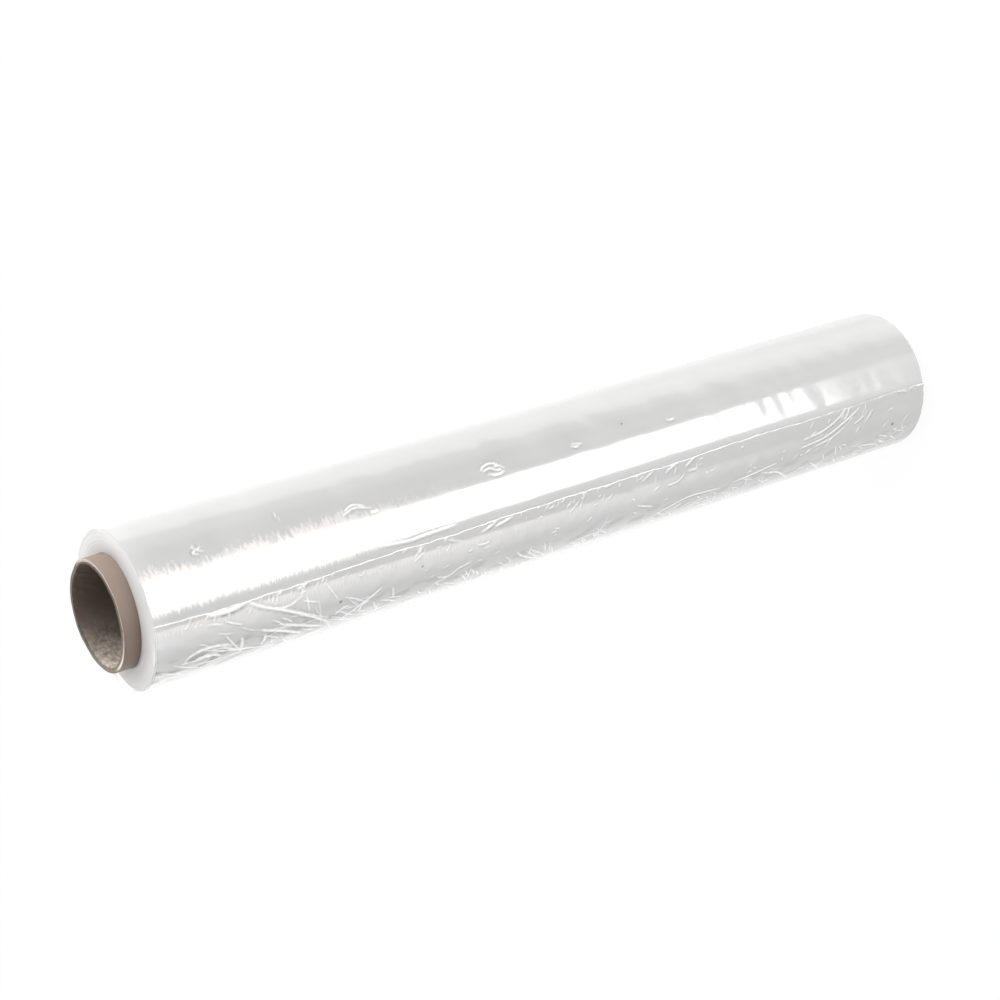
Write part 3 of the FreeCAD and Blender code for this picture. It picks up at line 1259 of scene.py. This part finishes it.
@dataclass
class WindingCore:
    """Paper tube that the film is wound on, a little out of round and frayed at its mouth."""

    size: RollSize
    columns: int = 200
    mouth_squash: float = 1.2
    mouth_depth: float = 9.7
    mouth_flare: float = 1.1
    lining_relief: float = 0.10

    def build(self) -> None:
        """Build the core and hang it on the frame."""
        join_frame(self.make_tube(), "core")

    def make_tube(self) -> bpy.types.Object:
        """Tube with eased rims.

        Returns:
            The finished piece.
        """
        size = self.size
        bpy.ops.object.select_all(action="DESELECT")
        bpy.ops.mesh.primitive_cylinder_add(
            vertices=self.columns,
            radius=size.core * MM,
            depth=size.length * MM,
            end_fill_type="NGON",
            location=(0, 0, size.length / 2 * MM),
        )
        piece = bpy.context.object
        piece.name = "core_tube"
        settle_transform(piece)
        with edit_mode(piece):
            pick_edges(piece, lambda edge: rises(edge) < 1)
            bpy.ops.mesh.bevel(offset=0.4 * MM, segments=3, affect="EDGES")
            pick_faces(piece, lambda face: len(face.verts) > 8)
            for step in (0.4, 0.6, 0.6, 0.6, 0.6):
                bpy.ops.mesh.inset(thickness=step * MM)
            bpy.ops.mesh.delete(type="FACE")
            pick_edges(piece, lambda edge: edge.is_boundary)
            bpy.ops.mesh.bridge_edge_loops()
            for cuts in (9, 11):
                pick_edges(piece, lambda edge: rises(edge) > 5 and reach(edge.verts[0]) < size.bore + 1)
                bpy.ops.mesh.subdivide(number_cuts=cuts)
            pick_edges(piece, lambda edge: rises(edge) > 100)
            bpy.ops.mesh.subdivide(number_cuts=60)
            bpy.ops.mesh.select_all(action="SELECT")
            bpy.ops.mesh.normals_make_consistent(inside=False)
        self.shape_tube(piece)
        self.dress(piece)
        return piece

    def shape_tube(self, piece: bpy.types.Object) -> None:
        """Crowd the rows towards both mouths, roughen the lining and press the mouths out of round.

        Args:
            piece: The plain tube.
        """
        size = self.size
        points = read_points(piece)
        half = size.length / 2
        share = (points[:, 2] - half) / half
        crowded = np.sign(share) * (1 - (1 - np.abs(share)) ** 1.9)
        rows = np.abs(share) < 0.997
        points[rows, 2] = half + half * crowded[rows] * 0.9995
        angle = np.arctan2(points[:, 0], -points[:, 1])
        radius = np.hypot(points[:, 0], points[:, 1])
        random = np.random.default_rng(8)
        rough = np.zeros(len(points))
        for _ in range(40):
            lobes = int(random.integers(6, 60))
            length = random.uniform(3.0, 14.0)
            phase = random.uniform(0, 2 * math.pi)
            rough += np.cos(lobes * angle + 2 * math.pi * points[:, 2] / length + phase)
        lining = np.clip((size.bore + 0.4 - radius) / 0.3, 0, 1)
        radius += lining * rough / math.sqrt(20) * self.lining_relief
        for end, amount in ((size.length, self.mouth_squash), (0.0, 0.5)):
            opened = np.exp(-np.abs(points[:, 2] - end) / 2.2)
            radius += lining * opened * self.mouth_flare
            reached = np.clip(1 - np.abs(points[:, 2] - end) / self.mouth_depth, 0, 1) ** 1.4
            squash = amount * np.clip(np.cos(angle), 0, 1) ** 2 - amount * np.clip(np.cos(angle - 2.9), 0, 1) ** 2
            nick = 0.9 * np.exp(-(((np.degrees(angle) - 118) / 13) ** 2)) * (end > 0)
            dent = 0.5 * np.exp(-(((np.degrees(angle) + 150) / 22) ** 2)) * (end > 0)
            radius -= reached * (squash + nick + dent)
            at_mouth = np.abs(points[:, 2] - end) < 0.7
            worn = 0.12 * np.sin(angle * 3 + 1) + 0.06 * np.sin(angle * 11) + 0.03 * np.sin(angle * 29)
            inward = -1.0 if end > 0 else 1.0
            points[at_mouth, 2] += inward * (0.2 + worn[at_mouth])
        points[:, 0] = radius * np.sin(angle)
        points[:, 1] = -radius * np.cos(angle)
        points[:, 2] = np.clip(points[:, 2], 0, size.length)
        write_points(piece, points)

    def dress(self, piece: bpy.types.Object) -> None:
        """Give the outside, the lining and the cut edges their board finishes.

        Args:
            piece: The shaped tube.
        """
        select_only(piece)
        bpy.ops.object.shade_smooth_by_angle(angle=math.radians(50))
        outside = OuterBoard(BoardFace.OUTSIDE, (0.25, 0.187, 0.15), (0.34, 0.272, 0.226), 0.62, 0.35, 0.03)
        # The lining's pale tone is painted light on its torn fibres.
        lining = LiningBoard(BoardFace.LINING, (0.082, 0.060, 0.046), (0.33, 0.29, 0.255), 0.9, 3.0, 1.0)
        cut = CutBoard(BoardFace.CUT, (0.50, 0.40, 0.34), (0.72, 0.62, 0.56), 0.85, 1.2, 0.3)
        for finish in (outside, lining, cut):
            piece.data.materials.append(finish.make())
        for polygon in piece.data.polygons:
            centre, normal = polygon.center, polygon.normal
            outward = centre.x * normal.x + centre.y * normal.y > 0
            if abs(normal.z) > 0.5:
                polygon.material_index = 2
            else:
                polygon.material_index = 0 if outward else 1


# Studio.


@dataclass(frozen=True)
class PanelEdge:
    """Edge of a light or dark studio panel, at the turn where the roll's front shows it.

    The edge runs from its near turn, at the roll's top end, to its far turn, at the lower end. The level
    of light changes as the turn rises past it, by its change at the top end and its far change at the other.
    """

    near: float
    far: float
    soft: float
    far_soft: float
    change: float
    far_change: float


@dataclass(frozen=True)
class Studio:
    """White room with soft light, which glossy film mirrors as tall pale and grey panels."""

    room: float = 0.72
    room_tilt: float = 0.16
    key_power: float = 12.0
    fill_power: float = 2.5
    mouth_power: float = 24.0
    rim_level: float = 1.1
    stripe_level: float = 6.5
    stripe_rest: float = -0.2
    stripe_near: tuple[float, float] = (-11.6, 10.5)
    stripe_far: tuple[float, float] = (-8.2, 11.0)
    stripe_end: float = 0.802
    stripe_slant: float = -0.003
    edges: tuple[PanelEdge, ...] = (
        PanelEdge(-78.0, -78.0, 8.0, 8.0, 1.0, 0.1),
        PanelEdge(-60.5, -60.0, 4.0, 4.0, -0.5, 0.2),
        PanelEdge(-41.0, -41.0, 4.0, 4.0, 0.8, 0.0),
        PanelEdge(-34.5, -36.0, 4.0, 4.0, 1.1, 0.2),
        PanelEdge(-22.3, -31.5, 0.8, 0.8, -1.7, 0.1),
        PanelEdge(-15.0, -14.0, 3.0, 3.0, 0.3, 0.9),
        PanelEdge(12.0, 12.0, 3.0, 3.0, -1.2, -0.9),
        PanelEdge(24.0, 22.0, 5.0, 3.0, -0.3, -0.3),
        PanelEdge(36.0, 26.0, 5.0, 3.0, 0.4, 0.3),
        PanelEdge(48.0, 31.0, 3.5, 0.4, 0.9, 0.5),
        PanelEdge(58.0, 52.0, 8.0, 8.0, -0.3, -0.72),
        PanelEdge(74.0, 72.0, 8.0, 8.0, -0.2, -0.35),
    )

    def build(self) -> None:
        """Build the room, its lamps, the floor and the camera."""
        self.set_view()
        self.build_world()
        middle = (0.0, 0.0, 0.26)
        self.build_lamp("key_softbox", "AREA", (1.15, -0.55, 0.95), middle, self.key_power).data.size = 1.4
        self.build_lamp("fill_softbox", "AREA", (-0.9, -0.7, 0.12), middle, self.fill_power).data.size = 0.8
        mouth = self.build_lamp("mouth_spot", "SPOT", (0.42, 0.12, 0.86), (-0.022, 0.0, 0.511), self.mouth_power)
        mouth.data.spot_size = math.radians(5.4)
        mouth.data.spot_blend = 0.7
        mouth.data.shadow_soft_size = 0.01
        self.build_floor()
        self.build_camera()

    def set_view(self) -> None:
        """Show colours as they are written."""
        bpy.context.scene.view_settings.view_transform = "Standard"

    def build_world(self) -> None:
        """White room for the camera, a plain level for soft light, and panels for glossy reflections."""
        world = bpy.data.worlds.new("studio_room")
        bpy.context.scene.world = world
        world.use_nodes = True
        world.cycles.sampling_method = "NONE"
        bench = Bench(world.node_tree)
        way = bench.node("ShaderNodeTexCoord").out("Generated")
        path = bench.node("ShaderNodeLightPath")
        glossy = path.out("Is Glossy Ray")
        seen = path.out("Is Camera Ray").math("MAXIMUM", path.out("Is Transmission Ray"))
        room = self.room + bench.node("ShaderNodeSeparateXYZ", {}, [way]) * self.room_tilt
        soft = room + (self.mirrored_level(bench, way) - room) * glossy
        level = soft + (1 - soft) * seen
        light = bench.node("ShaderNodeBackground", {}, {"Color": (1, 1, 1, 1), "Strength": level})
        bench.node("ShaderNodeOutputWorld", {}, {"Surface": light})

    def mirrored_level(self, bench: Bench, way: Wire) -> Wire:
        """Level of light that a glossy surface mirrors from a direction.

        Args:
            bench: The world's nodes.
            way: The direction.

        Returns:
            The level, where 1 is white.
        """
        x = bench.node("ShaderNodeSeparateXYZ", {}, [way])
        y, z = x.out("Y"), x.out("Z")
        turn = x.math("ARCTAN2", -y) * (180 / math.pi / 2.04)
        level_out = (x * x + y * y).math("SQRT") + 0.001
        share = (-0.759 - 1.844 * (z / level_out)).clamped()
        late = share.step(0.65, 0.35)
        level: Wire | float = self.rim_level
        for edge in self.edges:
            place = edge.near + (edge.far - edge.near) * share
            soft = edge.soft + (edge.far_soft - edge.soft) * share
            change = edge.change + (edge.far_change - edge.change) * late
            level = level + turn.step(place, soft) * change
        low = self.stripe_near[0] + (self.stripe_far[0] - self.stripe_near[0]) * share
        high = self.stripe_near[1] + (self.stripe_far[1] - self.stripe_near[1]) * share
        stripe = turn.step(low, 0.6) * (1 - turn.step(high, 0.8))
        ended = share.step(self.stripe_end + turn * self.stripe_slant, 0.02)
        strength = self.stripe_level - (self.stripe_level - self.stripe_rest) * ended
        return level + stripe * strength

    @staticmethod
    def build_lamp(
        name: str, kind: str, place: Sequence[float], target: Sequence[float], power: float
    ) -> bpy.types.Object:
        """Lamp that faces a target and isn't mirrored in the film.

        Args:
            name: The lamp's name.
            kind: The lamp's kind.
            place: Where it stands.
            target: What it faces.
            power: Its power in watts.

        Returns:
            The lamp.
        """
        data = bpy.data.lights.new(name, kind)
        data.energy = power
        lamp = bpy.data.objects.new(name, data)
        bpy.context.scene.collection.objects.link(lamp)
        lamp.location = place
        lamp.rotation_euler = (Vector(target) - lamp.location).to_track_quat("-Z", "Y").to_euler()
        lamp.visible_glossy = False
        lamp.visible_camera = False
        return lamp

    def build_floor(self) -> None:
        """White floor that shows a faint soft shadow."""
        bpy.ops.object.select_all(action="DESELECT")
        bpy.ops.mesh.primitive_plane_add(size=12, location=(0, 0, 0))
        floor = bpy.context.object
        floor.name = "studio_floor"
        material = bpy.data.materials.new("floor_white")
        material.use_nodes = True
        bench = Bench(material.node_tree)
        seen = bench.node("ShaderNodeLightPath")
        matte = bench.node("ShaderNodeBsdfDiffuse", {}, {"Color": (0.95, 0.95, 0.95, 1)})
        glow = bench.node("ShaderNodeEmission", {}, {"Color": (1, 1, 1, 1), "Strength": 1.03})
        mixed = bench.node("ShaderNodeMixShader", {}, [seen * 0.9, matte, glow])
        bench.node("ShaderNodeOutputMaterial", {}, {"Surface": mixed})
        floor.data.materials.append(material)
        floor.visible_glossy = False

    def build_camera(self) -> None:
        """Camera at the photograph's place, turned about its line of sight so that the roll seems to lie."""
        data = bpy.data.cameras.new("photo_camera")
        data.lens = 77.466
        data.sensor_width = 36.0
        camera = bpy.data.objects.new("photo_camera", data)
        bpy.context.scene.collection.objects.link(camera)
        camera.location = (0.0, -0.96242, 0.88921)
        camera.rotation_euler = (math.radians(-25.0686), math.radians(54.1314), math.radians(-119.8034))
        bpy.context.scene.camera = camera


def main() -> None:
    """Load the frame, and build the studio and the pieces, which log their vertex and face counts."""
    logging.basicConfig(level=logging.INFO, format="%(message)s")
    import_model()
    size = RollSize()
    Studio().build()
    FilmRoll(size).build()
    WindingCore(size).build()


if __name__ == "__main__":
    main()
